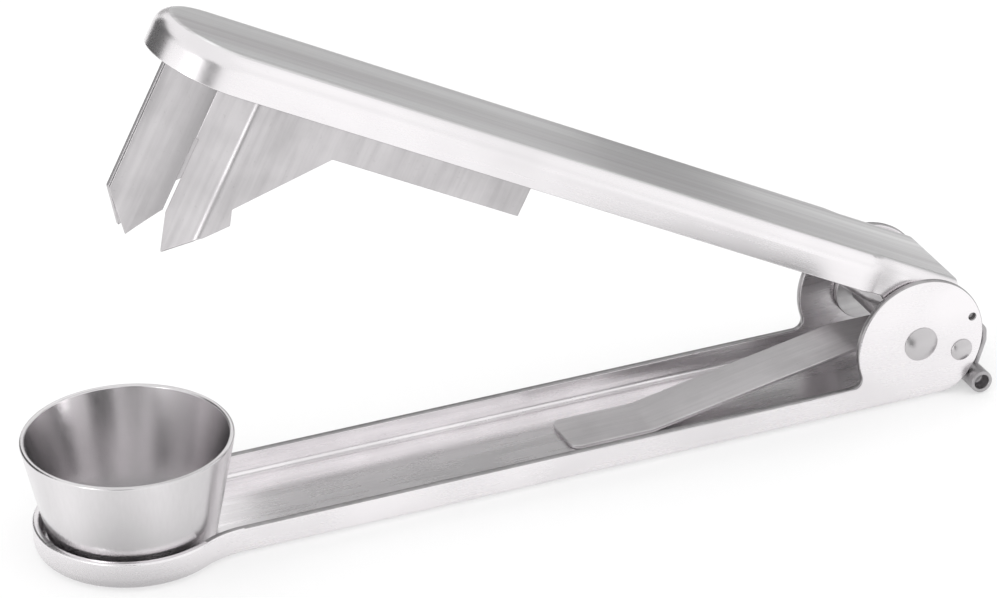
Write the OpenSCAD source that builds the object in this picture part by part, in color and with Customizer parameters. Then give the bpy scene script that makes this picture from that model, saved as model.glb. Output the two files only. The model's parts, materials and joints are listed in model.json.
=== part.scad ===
// Lever cherry pitter: a cup in the lower arm, a toothed punch under the upper arm and a leaf spring between.
// X runs along the lower arm with the cup at -X and the pivot at +X, Z is up and the base lies on Z = 0.
// The origin is on the base, midway between the axis of the cup and the pivot.

/* [Lever] */
// Distance from the pivot to the axis of the cup
reach = 139; // [125:0.5:155]
// Height of the pivot over the base
pivot_h = 11.2; // [10.8:0.1:12.5]
// Angle between the two arms when the tool rests open
open_angle = 28.3; // [24:0.1:32]
// Thickness of the sheet of both arms
sheet = 1.2; // [0.8:0.05:1.5]

/* [Lower arm] */
// Outside width of the lower arm
arm_w = 24.8; // [23:0.1:27]
// Height of the upturned wall
wall_h = 5.3; // [4:0.1:6.5]
// Outside radius of the round pan that holds the cup
pan_r = 16.5; // [16:0.1:19]
// Radius of the blend from the pan to the straight arm
pan_blend_r = 14; // [8:0.5:24]
// Radius of the cheeks about the pivot
cheek_r = 11.9; // [11.4:0.1:13]
// Radius of the blend from the wall to a cheek
cheek_blend_r = 1.6; // [1:0.1:4]

/* [Cup] */
// Outside radius of the cup at its rim
cup_rim_r = 17.8; // [16.5:0.1:20]
// Outside radius of the cup at its foot
cup_foot_r = 13.8; // [12.5:0.1:14.5]
// Height of the cup over the pan's floor
cup_h = 19; // [14:0.1:21]
// Thickness of the cup's wall
cup_wall = 0.9; // [0.6:0.05:1.2]
// Radius of the hole that lets the stone out
stone_hole_r = 9; // [7:0.1:10.5]

/* [Upper arm] */
// Outside width of the upper arm
upper_w = 23.4; // [21:0.1:26]
// Distance from the pivot to the middle of the round nose
nose_x = 140.4; // [128:0.1:160]
// Height of the arm's top over the pivot
top_h = 12; // [10.5:0.1:13]
// Height of the skirts
skirt_h = 6.3; // [4:0.1:7]
// Length of the shoulder where the arm narrows to its neck
shoulder_l = 6.5; // [4:0.1:9]
// Distance from the pivot back to the rear edge of the top
top_rear = 3.2; // [1:0.1:4]
// Radius of the lugs about the pivot
lug_r = 5.4; // [4:0.1:6.5]
// Height of the heel that meets the stop rivet
heel_h = 4; // [2.5:0.1:5]

/* [Punch] */
// Thickness of the punch's sheet
blade_t = 0.8; // [0.5:0.05:1.1]
// Distance of the blades' valleys in front of the axis of the cup with the arms parallel
punch_ahead = 0.4; // [-1:0.1:2]
// Distance of each valley from the middle plane
valley_y = 3.4; // [2:0.1:5]
// How far the prow runs forward from the valleys
prow_l = 9.2; // [7:0.1:11]
// How far the wings run back from the valleys to the skirts
wing_back = 4.1; // [2.5:0.1:6]
// Depth of the punch below the skirts, to the roots of the teeth
punch_l = 23.7; // [20:0.1:26]
// Height of the teeth
tooth_h = 6.2; // [3:0.1:8]
// Distance of the prow's teeth in front of the valleys
prow_tooth = 3.9; // [3:0.1:6]
// Distance of the wings' teeth behind the valleys
wing_tooth = 1.4; // [1:0.1:2]
// Width of the slit that runs up each valley from the teeth
slit_w = 0.5; // [0.3:0.05:0.7]
// Height of that slit
slit_h = 13; // [8:0.1:17]
// How far the wings' lower edge ends below the roots of the teeth
wing_drop = 1.2; // [0:0.1:2]
// Width of the web behind the wing, at its lower corner
web_l = 4.2; // [3:0.1:7]
// Rise of the web's lower edge from the wing to that corner
web_rise = 3.9; // [2:0.1:5]
// Height of the step behind that corner
step_h = 2.7; // [1.5:0.1:4]
// How far the step leans forward
step_lean = 0.9; // [0:0.1:1.5]
// Depth of the long tab below the skirts
tab_drop = 5.5; // [3:0.1:7]
// Length of the long tab's lower edge
tab_l = 36; // [24:0.5:48]

/* [Rivets] */
// Radius of the pivot rivet's shank
pivot_r = 1.6; // [1.2:0.05:1.9]
// Radius of the pivot rivet's heads
pivot_head_r = 3.1; // [2.4:0.1:3.8]
// Height of the pivot rivet's heads
pivot_head_h = 1.2; // [0.8:0.1:1.8]
// Outside radius of the bush on the pivot rivet
bush_r = 2.3; // [2.1:0.05:2.8]
// Distance of the stop rivet from the pivot
stop_l = 8.3; // [8:0.05:9]
// Angle of the stop rivet below the level of the pivot
stop_angle = 20; // [17:0.5:25]
// Radius of the stop rivet's shank
stop_r = 1.4; // [1:0.05:1.6]
// Radius of the stop rivet's heads
stop_head_r = 2; // [1.8:0.05:2.4]
// Height of the stop rivet's heads
stop_head_h = 1; // [0.6:0.1:1.4]

/* [Spring] */
// Width of the leaf
leaf_w = 10; // [7:0.1:12]
// Thickness of the leaf
leaf_t = 0.7; // [0.4:0.05:0.9]
// Distance from the pivot to the end of each leaf
leaf_l = 62; // [54:0.5:70]
// Length of the flat end of each leaf
leaf_foot = 15; // [8:0.5:18]
// Length of the straight part of each leaf beside the bush
leaf_neck = 9; // [5:0.5:12]

/* [Bail] */
// Diameter of the wire legs
wire_d = 1.1; // [0.8:0.05:1.3]
// Distance of the bail's hole behind the pivot
bail_x = 9.8; // [9.5:0.05:10.2]
// Height of the bail's hole over the pivot
bail_z = 3.1; // [2.5:0.1:3.5]
// Depth below the pivot at which the legs turn straight down
leg_knee = 1; // [0:0.1:2]
// Length of the legs' straight stretch behind the cheeks
leg_straight = 2; // [1:0.1:3]
// How far the wire swells where it is bent
knuckle = 0.05; // [0.02:0.01:0.08]
// Radius of the bar across the legs
bar_r = 2; // [1.6:0.05:2.1]
// Length of the bar
bar_l = 29; // [26:0.5:34]
// Radius of the hollow in the bar's ends
bar_hollow_r = 1.3; // [0.8:0.05:1.4]
// Depth of the hollow in the bar's ends
bar_hollow_d = 2.5; // [1:0.1:3]

/* [Clearances] */
// Radial clearance of the turning and riveted fits
fit = 0.05; // [0.02:0.01:0.1]
// Room beside pieces that move past each other
side_gap = 0.2; // [0.15:0.05:0.3]
// Room between pieces that only come near each other
room = 0.35; // [0.3:0.05:0.5]

/* [Hidden] */
$fn = 96;

polished = [0.86, 0.86, 0.88];
brushed = [0.68, 0.68, 0.7];
blade_grey = [0.64, 0.63, 0.64];
spring_grey = [0.55, 0.55, 0.55];
dark_grey = [0.3, 0.3, 0.33];

pivot_x = reach / 2;
cup_x = -reach / 2;
arm_half = arm_w / 2;
cheek_in = arm_half - sheet;
wire_r = wire_d / 2;
leg_y = cheek_in - side_gap - wire_r;
neck_half = cheek_in - side_gap;
neck_in = neck_half - sheet;
upper_half = upper_w / 2;
skirt_lo = top_h - skirt_h;
under_top = top_h - sheet;
neck_x = sqrt(pow(cheek_r + room, 2) - pow(skirt_lo, 2));
shoulder_x = neck_x + shoulder_l;

// How far a cut runs past the face that it opens
cut = 1;

// The stop rivet's place from the pivot, in the lower arm and as the open upper arm sees it
stop_at = stop_l * [cos(stop_angle), -sin(stop_angle)];
stop_from_upper = stop_l * [cos(open_angle - stop_angle), sin(open_angle - stop_angle)];
heel_z = stop_from_upper[1] + stop_r + fit;
heel_top = heel_z + heel_h;

// The heel turns inside the bail's pins
heel_r = norm([bail_x, bail_z]) - wire_r - knuckle - room;
heel_x = sqrt(pow(heel_r, 2) - pow(heel_z, 2));
heel_back = sqrt(pow(heel_r, 2) - pow(heel_top, 2));

// The corners of a blade, in the upper arm's own frame
valley_x = -reach - punch_ahead;
prow_x = valley_x - prow_l;
web_y = upper_half - sheet - blade_t / 2;
crease_x = valley_x + wing_back;
root_z = skirt_lo - punch_l;
tip_z = root_z - tooth_h;
crease_z = root_z - wing_drop;
corner_z = crease_z + web_rise;
step_z = corner_z + step_h;
tab_z = skirt_lo - tab_drop;
corner_x = crease_x + web_l;
step_x = corner_x - step_lean;
slant_x = step_x + tab_z - step_z;
tab_end = slant_x + tab_l;

// The leaf's middle line
loop_r = bush_r + fit + leaf_t / 2;
floor_mid = sheet - pivot_h + fit + leaf_t / 2;
roof_mid = under_top - fit - leaf_t / 2;

// The bar of the bail clears the cheeks and the base
bar_z = bar_r + side_gap - pivot_h;
bar_x = sqrt(pow(cheek_r + bar_r + side_gap, 2) - pow(bar_z, 2));
leg_bulge = cheek_r + wire_d;

function turn(p, a) = [p[0] * cos(a) + p[1] * sin(a), p[1] * cos(a) - p[0] * sin(a)];

function unit(v) = v / norm(v);

// The direction square to a path at one of its points, long enough to keep the strip's thickness in a bend
function miter(path, i) =
    let (last = len(path) - 1)
    let (before = unit(path[max(i, 1)] - path[max(i, 1) - 1]))
    let (after = unit(path[min(i, last - 1) + 1] - path[min(i, last - 1)]))
    let (along = unit(before + after))
    [-along[1], along[0]] / (along * after);

// The outline of a strip of thickness t along a path
function strip(path, t) = concat(
    [for (i = [0 : len(path) - 1]) path[i] + miter(path, i) * t / 2],
    [for (i = [len(path) - 1 : -1 : 0]) path[i] - miter(path, i) * t / 2]
);

// One leaf from the bush to its flat end, on the side given by the sign of z
function leaf(z_end, z_loop) = [
    [0, z_loop], [-leaf_neck, z_loop], [leaf_foot - leaf_l, z_end], [-leaf_l, z_end]
];

function spring_path() =
    let (low = leaf(floor_mid, -loop_r), high = leaf(roof_mid, loop_r), steps = 24)
    let (sweep = 180 - open_angle)
    concat(
        [for (i = [3 : -1 : 1]) low[i]],
        [for (i = [0 : steps]) loop_r * [cos(i * sweep / steps - 90), sin(i * sweep / steps - 90)]],
        [for (i = [1 : 3]) turn(high[i], open_angle)]
    );

// Puts the pivot's own frame in its place
module at_pivot() {
    translate([pivot_x, 0, pivot_h]) children();
}

module in_upper_arm() {
    at_pivot() rotate([0, open_angle, 0]) children();
}

// A plate cut from a side view (x, z), standing on the plane y and w thick
module side_plate(y, w) {
    translate([0, y, 0]) rotate([90, 0, 0]) linear_extrude(w, center = true) children();
}

// A pin along Y of length l about the middle plane
module cross_pin(r, l) {
    rotate([90, 0, 0]) cylinder(r = r, h = l, center = true);
}

// A round rivet head of radius r and height h, standing on its flat face
module dome(r, h) {
    ball_r = (r * r + h * h) / (2 * h);
    intersection() {
        translate([0, 0, h - ball_r]) sphere(ball_r);
        cylinder(r = r, h = h);
    }
}

// A rivet along Y with a domed head on each cheek
module rivet(shank_r, head_r, head_h) {
    cross_pin(shank_r, arm_w);
    for (side = [-1, 1])
        translate([0, side * arm_half, 0]) rotate([-side * 90, 0, 0]) dome(head_r, head_h);
}

// The fill of the corner between a disc at the origin and the straight edge y = line, rounded with radius r
module corner_blend(disc_r, line, r) {
    middle = [sqrt(pow(disc_r + r, 2) - pow(line + r, 2)), line + r];
    difference() {
        polygon(line < 0 ? [[0, 0], middle, [middle[0], line], [0, line]] : [[0, 0], middle, [middle[0], 0]]);
        translate(middle) circle(r);
    }
}

// The lower arm seen from above, drawn in by inset
module tray_outline(inset, x_end) {
    half = arm_half - inset;
    translate([cup_x, -half]) square([x_end - cup_x, 2 * half]);
    translate([cup_x, 0]) {
        circle(pan_r - inset);
        for (side = [0, 1])
            mirror([0, side]) corner_blend(pan_r - inset, half, pan_blend_r + inset);
    }
}

// A cheek seen from the side, about the pivot
module cheek_outline() {
    intersection() {
        union() {
            circle(cheek_r);
            mirror([1, 0]) corner_blend(cheek_r, wall_h - pivot_h, cheek_blend_r);
        }
        translate([-2 * cheek_r, -pivot_h]) square([4 * cheek_r, pivot_h + cheek_r]);
    }
}

module lower_arm() {
    color(polished) difference() {
        union() {
            difference() {
                linear_extrude(wall_h) tray_outline(0, pivot_x);
                translate([0, 0, sheet]) linear_extrude(wall_h) tray_outline(sheet, pivot_x + cut);
            }
            for (side = [-1, 1])
                at_pivot() side_plate(side * (arm_half - sheet / 2), sheet) cheek_outline();
        }
        translate([cup_x, 0, -cut]) cylinder(r = stone_hole_r, h = sheet + 2 * cut);
        at_pivot() {
            cross_pin(pivot_r + fit, arm_w + 2 * cut);
            translate([stop_at[0], 0, stop_at[1]]) cross_pin(stop_r + fit, arm_w + 2 * cut);
            translate([bail_x, 0, bail_z]) cross_pin(wire_r + fit, arm_w + 2 * cut);
        }
    }
}

// A conical cup with a flat floor and the stone hole through it
module cup() {
    foot_in = cup_foot_r + (cup_rim_r - cup_foot_r) * cup_wall / cup_h - cup_wall;
    color(polished) translate([cup_x, 0, sheet]) rotate_extrude() polygon([
        [stone_hole_r, 0], [cup_foot_r, 0], [cup_rim_r, cup_h],
        [cup_rim_r - cup_wall, cup_h], [foot_in, cup_wall], [stone_hole_r, cup_wall]
    ]);
}

// The upper arm seen from above, drawn in by inset
module upper_outline(inset, x_end) {
    wide = upper_half - inset;
    narrow = neck_half - inset;
    translate([-nose_x, 0]) circle(wide);
    polygon([
        [-nose_x, -wide], [-shoulder_x, -wide], [-neck_x, -narrow], [x_end, -narrow],
        [x_end, narrow], [-neck_x, narrow], [-shoulder_x, wide], [-nose_x, wide]
    ]);
}

// A lug seen from the side, with the heel that meets the stop rivet
module lug_outline() {
    circle(lug_r);
    polygon([
        [-lug_r / 2, 0], [0, 0], [0, heel_z], [heel_x, heel_z], [heel_back, heel_top],
        [top_rear, under_top], [-neck_x, under_top], [-neck_x, skirt_lo]
    ]);
}

module upper_arm() {
    color(brushed) in_upper_arm() difference() {
        union() {
            difference() {
                translate([0, 0, skirt_lo]) linear_extrude(skirt_h) upper_outline(0, top_rear);
                translate([0, 0, skirt_lo - cut])
                    linear_extrude(skirt_h - sheet + cut) upper_outline(sheet, top_rear + cut);
            }
            for (side = [-1, 1])
                side_plate(side * (neck_half - sheet / 2), sheet) lug_outline();
        }
        cross_pin(pivot_r + fit, arm_w);
    }
}

// The lower edge of a blade in side view: two teeth with a slit between them, the web's step and the long tab
function blade_edge() = [
    [prow_x, root_z], [valley_x - prow_tooth, tip_z],
    [valley_x - slit_w / 2, root_z], [valley_x - slit_w / 2, root_z + slit_h],
    [valley_x + slit_w / 2, root_z + slit_h], [valley_x + slit_w / 2, root_z],
    [valley_x + wing_tooth, tip_z], [crease_x, crease_z], [corner_x, corner_z],
    [step_x, step_z], [slant_x, tab_z], [tab_end + cut, tab_z]
];

// The blade on the far side: half the prow, a wing out to the skirt, then a web and a tab along the skirt
module punch_blade() {
    plan = [[prow_x, blade_t / 2], [valley_x, valley_y], [crease_x, web_y], [tab_end, web_y]];
    intersection() {
        translate([0, 0, tip_z - cut]) linear_extrude(under_top - tip_z + cut) polygon(strip(plan, blade_t));
        side_plate(upper_half / 2, upper_half) polygon(concat(
            [[tab_end + cut, under_top + cut], [prow_x - cut, under_top + cut], [prow_x - cut, root_z]],
            blade_edge()
        ));
    }
}

module punch_near_blade() {
    color(blade_grey) in_upper_arm() mirror([0, 1, 0]) punch_blade();
}

module punch_far_blade() {
    color(blade_grey) in_upper_arm() punch_blade();
}

module pivot_rivet() {
    color(polished) at_pivot() rivet(pivot_r, pivot_head_r, pivot_head_h);
}

module pivot_bush() {
    color(dark_grey) at_pivot() difference() {
        cross_pin(bush_r, 2 * (neck_in - side_gap));
        cross_pin(pivot_r + fit, arm_w);
    }
}

module stop_rivet() {
    color(polished) at_pivot() translate([stop_at[0], 0, stop_at[1]]) rivet(stop_r, stop_head_r, stop_head_h);
}

module return_spring() {
    color(spring_grey) at_pivot() side_plate(0, leaf_w) polygon(strip(spring_path(), leaf_t));
}

// The points that a leg's wire runs through, from its end in the cheek to the middle of the bar
function leg_path(side) = [
    [bail_x, side * (arm_half - side_gap), bail_z], [bail_x, side * leg_y, bail_z],
    [leg_bulge, side * leg_y, -leg_knee], [leg_bulge, side * leg_y, -leg_knee - leg_straight],
    [bar_x, side * leg_y, bar_z]
];

// A straight round rod between two points
module rod(from, to, r) {
    run = to - from;
    tilt = acos(run[2] / norm(run));
    translate(from) rotate([0, tilt, atan2(run[1], run[0])]) cylinder(r = r, h = norm(run));
}

// A round wire along a path, with a knuckle at each corner
module bent_wire(path, r) {
    last = len(path) - 1;
    for (i = [0 : last - 1])
        rod(path[i], path[i + 1], r);
    for (i = [1 : last - 1])
        translate(path[i]) sphere(r + knuckle);
}

module bail_leg_near() {
    color(dark_grey) at_pivot() bent_wire(leg_path(-1), wire_r);
}

module bail_leg_far() {
    color(dark_grey) at_pivot() bent_wire(leg_path(1), wire_r);
}

// A bar with a hollow in each end and a hole for each leg
module bail_bar() {
    color(dark_grey) at_pivot() difference() {
        translate([bar_x, 0, bar_z]) cross_pin(bar_r, bar_l);
        for (side = [-1, 1]) {
            translate([bar_x, side * bar_l / 2, bar_z]) cross_pin(bar_hollow_r, 2 * bar_hollow_d);
            rod(leg_path(side)[4], leg_path(side)[3], wire_r + fit);
        }
    }
}

lower_arm();
cup();
upper_arm();
punch_near_blade();
punch_far_blade();
pivot_rivet();
pivot_bush();
stop_rivet();
return_spring();
bail_leg_near();
bail_leg_far();
bail_bar();
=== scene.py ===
"""Lever cherry pitter: dressed pieces, finishes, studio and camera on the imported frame."""
import json
import math

import bmesh
import bpy
from mathutils import Matrix, Vector


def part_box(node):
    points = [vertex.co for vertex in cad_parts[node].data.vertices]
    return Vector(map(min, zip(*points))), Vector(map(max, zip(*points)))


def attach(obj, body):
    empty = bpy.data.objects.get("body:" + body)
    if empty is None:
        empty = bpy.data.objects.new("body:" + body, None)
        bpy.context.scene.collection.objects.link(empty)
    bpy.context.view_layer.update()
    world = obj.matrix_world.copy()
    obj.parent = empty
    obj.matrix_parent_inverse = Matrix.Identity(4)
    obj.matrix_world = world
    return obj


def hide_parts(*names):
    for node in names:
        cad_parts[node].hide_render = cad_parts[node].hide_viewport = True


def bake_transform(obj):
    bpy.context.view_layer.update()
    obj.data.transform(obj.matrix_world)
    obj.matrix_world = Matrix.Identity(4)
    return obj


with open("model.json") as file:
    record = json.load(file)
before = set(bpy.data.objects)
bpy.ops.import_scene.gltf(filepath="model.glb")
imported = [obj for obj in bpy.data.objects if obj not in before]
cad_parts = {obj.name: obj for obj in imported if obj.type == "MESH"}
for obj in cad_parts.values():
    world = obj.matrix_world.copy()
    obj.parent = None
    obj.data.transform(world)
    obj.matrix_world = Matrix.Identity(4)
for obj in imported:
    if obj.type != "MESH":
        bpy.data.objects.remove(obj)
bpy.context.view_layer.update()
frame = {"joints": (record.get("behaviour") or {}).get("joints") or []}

bl_info = {
    "name": "Lever cherry pitter",
    "version": (1, 0, 0),
    "blender": (4, 5, 0),
    "location": "3D View > Sidebar > Pitter",
    "description": "Builds the pieces, finishes and studio of a sheet metal cherry pitter",
    "category": "Object",
}

# Places that come from the frame
MM = 0.001
JOINTS = {joint["name"]: joint for joint in frame["joints"]}
PIVOT = Vector(JOINTS["squeeze"]["pos_m"])
BAIL_PIN = Vector(JOINTS["bail_swing"]["pos_m"])
CUP_LOW, CUP_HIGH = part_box("cup")
CUP_X = (CUP_LOW.x + CUP_HIGH.x) / 2
CUP_RIM_R = (CUP_HIGH.x - CUP_LOW.x) / 2
BAR_LOW, BAR_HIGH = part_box("bail_bar")
BAR_MIDDLE = (BAR_LOW + BAR_HIGH) / 2
BAR_R = (BAR_HIGH.x - BAR_LOW.x) / 2

# The upper arm is drawn level and then turned open about the pivot
OPEN_ANGLE = math.radians(28.3)
ARM_PLACE = Matrix.Translation(PIVOT) @ Matrix.Rotation(OPEN_ANGLE, 4, "Y")

# Fits between the pieces
FIT = 0.05 * MM
SIDE_GAP = 0.2 * MM
ROOM = 0.35 * MM

# Lower arm
SHEET = 1.2 * MM
ARM_HALF = 12.4 * MM
WALL_H = 5.3 * MM
PAN_R = 16.5 * MM
PAN_BLEND_R = 14 * MM
CHEEK_R = 11.9 * MM
CHEEK_BLEND_R = 1.6 * MM
STONE_HOLE_R = 9 * MM
BAIL_HOLE_R = 0.6 * MM

# Cup
CUP_FOOT_R = 13.8 * MM
CUP_WALL = 0.9 * MM

# Rivets, bush and bail
PIVOT_SHANK_R = 1.6 * MM
STOP_SHANK_R = 1.4 * MM
BUSH_R = 2.3 * MM
WIRE_R = 0.55 * MM
KNUCKLE = 0.05 * MM
LEG_Y = ARM_HALF - SHEET - SIDE_GAP - WIRE_R
LEG_BULGE = CHEEK_R + 2 * WIRE_R
LEG_KNEE = -1 * MM
LEG_BEND = -3 * MM
BAR_HOLLOW_R = 1.3 * MM
BAR_HOLLOW_D = 2.5 * MM
PIN_RECESS = 0.8 * MM

# Upper arm, drawn level and measured from the pivot
UPPER_HALF = 11.7 * MM
NECK_HALF = ARM_HALF - SHEET - SIDE_GAP
NOSE_X = 140.4 * MM
TOP_H = 12 * MM
SKIRT_LOW = 5.7 * MM
NECK_X = math.sqrt((CHEEK_R + ROOM) ** 2 - SKIRT_LOW ** 2)
SHOULDER_X = NECK_X + 6.5 * MM
STEP_HALF = 1.2 * MM
TOP_REAR = 3.2 * MM
LUG_R = 5.4 * MM
BUSH_HALF = NECK_HALF - SHEET - SIDE_GAP

# Middle and radius of the painted shade on the neck: its side is darkened round this place, standing in for
# the shade next to the cheeks
NECK_PAINTED_SHADE = (ARM_PLACE @ (Vector((-12.3, 0, 8.2)) * MM), 5 * MM)

# The heel rests on the stop rivet and turns inside the bail's pins
STOP_LOW, STOP_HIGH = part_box("stop_rivet")
STOP = ARM_PLACE.inverted() @ ((STOP_LOW + STOP_HIGH) / 2)
HEEL_R = (BAIL_PIN - PIVOT).length - WIRE_R - KNUCKLE - ROOM
HEEL_H = 4 * MM
HEEL_Z = STOP.z + STOP_SHANK_R + FIT

# Punch blades, in the upper arm's frame
BLADE_T = 0.8 * MM
VALLEY_BEND = 0.6 * MM
PROW_HOLLOW = 2 * MM
PROW_STEPS = 10
CREASE_BEND = 1.3 * MM
PROW_X = -148.6 * MM
VALLEY = Vector((-139.4, 3.4)) * MM
CREASE = Vector((-135.3, 10.1)) * MM
TAB_END = -83.2 * MM
BLADE_TOP = TOP_H - SHEET
ROOT_Z = -18 * MM
TIP_Z = -24.2 * MM
CREASE_Z = -19.2 * MM
PROW_TOOTH = 3.9 * MM
WING_TOOTH = 1.4 * MM
SLIT_HALF = 0.25 * MM
SLIT_TOP = -5 * MM
WEB_CORNER = Vector((-131.1, -15.3)) * MM
WEB_STEP = Vector((-132, -12.6)) * MM
SLANT_X = -119.2 * MM
TAB_Z = 0.2 * MM

# Return spring, measured from the pivot
LEAF_HALF = 5 * MM
LEAF_T = 0.7 * MM
LEAF_L = 62 * MM
LEAF_KINK = 47 * MM
LEAF_NECK = 9 * MM
LOOP_R = 2.7 * MM
FLOOR_MID = SHEET + FIT + LEAF_T / 2 - PIVOT.z
ROOF_MID = TOP_H - SHEET - FIT - LEAF_T / 2

# The photograph's camera, found from the pieces' outlines
IMAGE_W = 997
IMAGE_H = 598
FOCAL_PX = 5190.47
SENSOR_MM = 36
VIEW_DISTANCE = 0.9
VIEW_AZIMUTH = math.radians(-21.75)
VIEW_ELEVATION = math.radians(27.9)
VIEW_ROLL = math.radians(-1.62)
PIVOT_PX = (888.991, 313.275)
CLIP_START = 0.01

# Floor, with a share of plain white so that the shadow stays faint
FLOOR_R = 3
FLOOR_STEPS = 64
FLOOR_WHITE = 0.45
WHITE = (1, 1, 1, 1)

# Lamps: place, width and height, stage value for the power
LAMPS = {
    "key_lamp": ((-0.79, -0.32, 0.17), (1.3, 0.3), "key"),
    "fill_lamp": ((0.7, -0.25, 0.5), (0.7, 0.7), "fill"),
    "edge_lamp": ((-0.451, -0.23, 0.085), (0.12, 0.16), "edge"),
}

# Cards that the metal mirrors: place, width and height, stage value for the colour, aim, fading radius
ORIGIN = (0, 0, 0)
CARD_LIFT = 0.3 * MM
CARDS = {
    "near_card": ((-0.225, -0.308, 0.105), (0.14, 0.17), "card", ORIGIN, 0),
    "far_card": ((-0.225, 0.245, 0.143), (0.34, 0.3), "card", ORIGIN, 0),
    "far_screen": ((0.342, 0.499, 0.1), (0.9, 0.28), "screen", ORIGIN, 0),
    "tray_card": ((0.05, 0.0561, 0.0404), (0.16, 0.018), "strip", (0.05, 0, 0), 0),
    "low_card": ((0.045, -0.051, 0.004), (0.046, 0.027), "card", ORIGIN, 0),
    "pan_card": ((-0.0735, -0.01, CARD_LIFT), (0.05, 0.05), "patch", (-0.0735, -0.01, 0), 0.025),
}

# Noise in the finishes: scale along each axis, detail, range of its values that is spread
CLOUD = ((45, 70, 70), 2, (0.35, 0.7))
HAIR = ((60, 2600, 2600), 4, (0.3, 0.75))
SCRATCH = ((500, 90, 900), 5, (0.68, 0.74))
CUP_BAND = ((75, 75, 4), 1, (0.34, 0.66))
CUP_HAIR = ((2400, 2400, 40), 3, (0.3, 0.75))
TRAY_STAIN = ((90, 130, 130), 3, (0.4, 0.75))
BROAD_STREAK = ((5, 170, 170), 1, (0.34, 0.66))
NARROW_STREAK = ((9, 480, 480), 3, (0.28, 0.74))
FINE_STREAK = ((26, 2400, 2400), 4, (0.3, 0.72))
STAIN = ((130, 130, 130), 3, (0.4, 0.75))
PITS = ((1500, 1500, 1500), 2, (0.66, 0.76))
PLATE_GRAIN = ((40, 1200, 1200), 4, (0.28, 0.74))
BLADE_GRAIN = ((900, 900, 60), 4, (0.28, 0.74))
CUT_GRAIN = ((900, 900, 900), 4, (0.28, 0.74))
LEAF_GRAIN = ((50, 1300, 300), 4, (0.28, 0.74))
DARK_GRAIN = ((600, 600, 600), 4, (0.28, 0.74))
SCRATCH_TURN = 0.35

# The two shades of its colour between which each finish varies
POLISH_SHADES = (1, 0.5)
DRAWN_SHADES = (1.05, 0.84)
TRAY_SHADES = (1.04, 0.86)
BRUSH_SHADES = (0.62, 1.5)
SATIN_SHADES = (1.14, 0.74)

# Roughness of each finish where its noise is nil
POLISH_ROUGH = 0.22
RIVET_ROUGH = 0.26
DRAWN_ROUGH = 0.16
TRAY_ROUGH = 0.22
BRUSH_ROUGH = 0.42
SATIN_ROUGH = 0.3

# Depth of each finish's bumps
POLISH_DEPTH = 0.0003 * MM
DRAWN_DEPTH = 0.001 * MM
TRAY_DEPTH = 0.003 * MM
SATIN_DEPTH = 0.008 * MM
BRUSH_DEPTH = 0.012 * MM

# Slots of faces with a finish of their own, and steps from a face's slot to that of its cut edge
PAN_WALL = 3
COVER_TOP = 2
TRAY_RIM = 2
COVER_RIM = 4
PLAIN_RIM = 1

# Shares, limits and finest distances in the meshes
CORNER_SHARE = 0.49
END_SHARE = 0.3
HEAD_SIDE = 0.6
EDGE_ANGLE = math.radians(38)
FLAT_WEIGHT = 70
MERGE = 1e-7
JOIN = MERGE * 10
PLACES = 7

# Numbers of steps in curves, and of the bend's steps that are brushed
BEND_STEPS = 8
BRUSHED_ROWS = 2
EDGE_STEPS = 3
HOLE_STEPS = 16
ROUND_STEPS = 6
TURN_STEPS = 96
WIRE_STEPS = 20

# What all the colour values have in common
COLOUR = {"subtype": "COLOR", "min": 0, "max": 1}


class PitterSizes(bpy.types.PropertyGroup):
    """Roundings that the dressed pieces add to the plain solids"""
    tray_bend: bpy.props.FloatProperty(
        name="Tray bend", description="Outer radius of the bend between the tray's floor and wall",
        default=2.2 * MM, min=1.4 * MM, unit="LENGTH")
    cover_bend: bpy.props.FloatProperty(
        name="Cover bend", description="Outer radius of the bend round the upper arm's top",
        default=2.7 * MM, min=1.4 * MM, unit="LENGTH")
    edge: bpy.props.FloatProperty(
        name="Edge", description="Rounding of the cut edges of the sheet",
        default=0.36 * MM, unit="LENGTH")
    shoulder: bpy.props.FloatProperty(
        name="Shoulder", description="Rounding of the shoulder where the upper arm narrows",
        default=3 * MM, unit="LENGTH")
    cup_foot: bpy.props.FloatProperty(
        name="Cup foot", description="Rounding between the cup's floor and wall",
        default=1.6 * MM, unit="LENGTH")
    rivet_rim: bpy.props.FloatProperty(
        name="Rivet rim", description="Height of the straight rim below a rivet's dome",
        default=0.1 * MM, unit="LENGTH")
    leaf_bend: bpy.props.FloatProperty(
        name="Leaf bend", description="Radius of the spring leaf's bends",
        default=9 * MM, unit="LENGTH")
    leaf_corner: bpy.props.FloatProperty(
        name="Leaf corner", description="Rounding of the corners at the leaf's ends",
        default=1.8 * MM, unit="LENGTH")
    wire_bend: bpy.props.FloatProperty(
        name="Wire bend", description="Radius of the bends in the bail wire",
        default=1.1 * MM, unit="LENGTH")


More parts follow.
